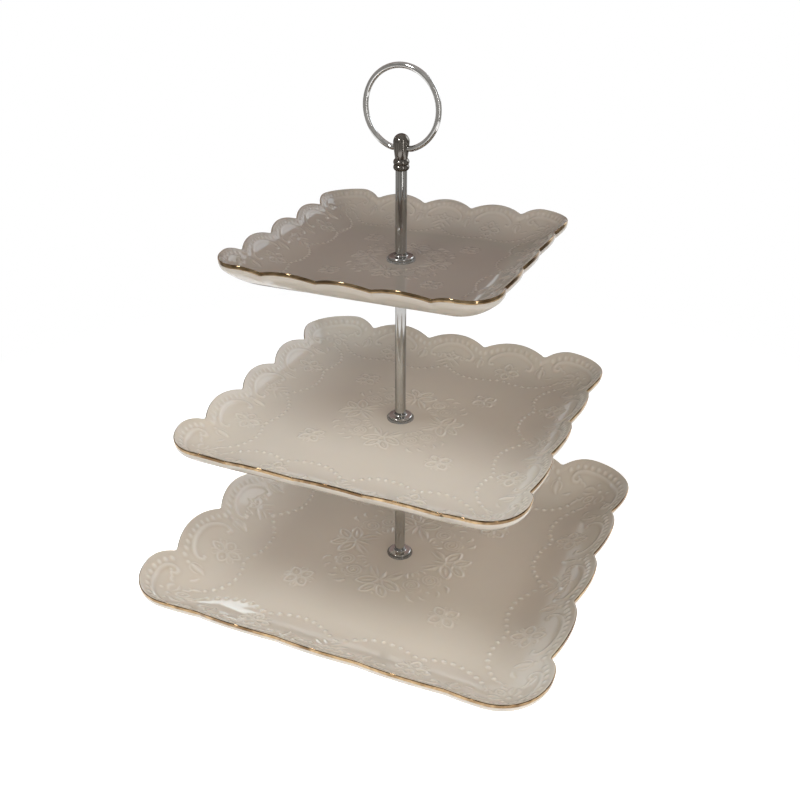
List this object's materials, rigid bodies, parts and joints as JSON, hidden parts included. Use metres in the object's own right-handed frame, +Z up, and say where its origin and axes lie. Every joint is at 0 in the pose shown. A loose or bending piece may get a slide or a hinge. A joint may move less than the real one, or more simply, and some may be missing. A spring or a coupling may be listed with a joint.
{
  "type": "tiered cake stand",
  "caption": "Tiered serving stand: square scalloped porcelain dishes with embossed rims and gilt edges on a slim plated post, with a swinging ring handle on top.",
  "frame": {"origin": "centre of the stand's footprint on the surface it rests on, under the axis of the post", "axes": "+Z up along the post; the plates' straight sides run along X and Y; the ring's plane is turned 4.5 degrees from X"},
  "size_m": [0.254, 0.254, 0.3166],
  "materials": {
    "porcelain": "gloss",
    "plated_metal": "polished",
    "steel": "satin",
    "clear_washer": "satin"
  },
  "bodies": {
    "bottom_plate": {"bottom_plate": "porcelain"},
    "column": {"base_screw": "steel", "base_metal_washer": "steel", "base_soft_washer": "clear_washer", "bottom_top_soft_washer": "clear_washer", "lower_post_foot": "plated_metal", "lower_post_tube": "plated_metal", "lower_post_stud": "steel", "middle_metal_washer": "steel", "middle_soft_washer": "clear_washer", "middle_top_soft_washer": "clear_washer", "upper_post_foot": "plated_metal", "upper_post_tube": "plated_metal", "upper_post_stud": "steel", "top_metal_washer": "steel", "top_soft_washer": "clear_washer", "top_top_soft_washer": "clear_washer", "handle_post_foot": "plated_metal", "handle_post_tube": "plated_metal", "handle_head": "plated_metal"},
    "middle_plate": {"middle_plate": "porcelain"},
    "top_plate": {"top_plate": "porcelain"},
    "ring": {"handle_ring": "plated_metal"}
  },
  "joints": [
    {"name": "column_turn", "type": "hinge", "parent": "bottom_plate", "child": "column", "pos_m": [0, 0, 0.0097], "axis": [0, 0, 1], "continuous": true},
    {"name": "middle_plate_turn", "type": "hinge", "parent": "column", "child": "middle_plate", "pos_m": [0, 0, 0.1104], "axis": [0, 0, 1], "continuous": true},
    {"name": "top_plate_turn", "type": "hinge", "parent": "column", "child": "top_plate", "pos_m": [0, 0, 0.2111], "axis": [0, 0, 1], "continuous": true},
    {"name": "ring_swing", "type": "hinge", "parent": "column", "child": "ring", "pos_m": [0, 0, 0.2732], "axis": [0.9969, -0.0785, 0], "range_deg": [-173, 173]}
  ]
}
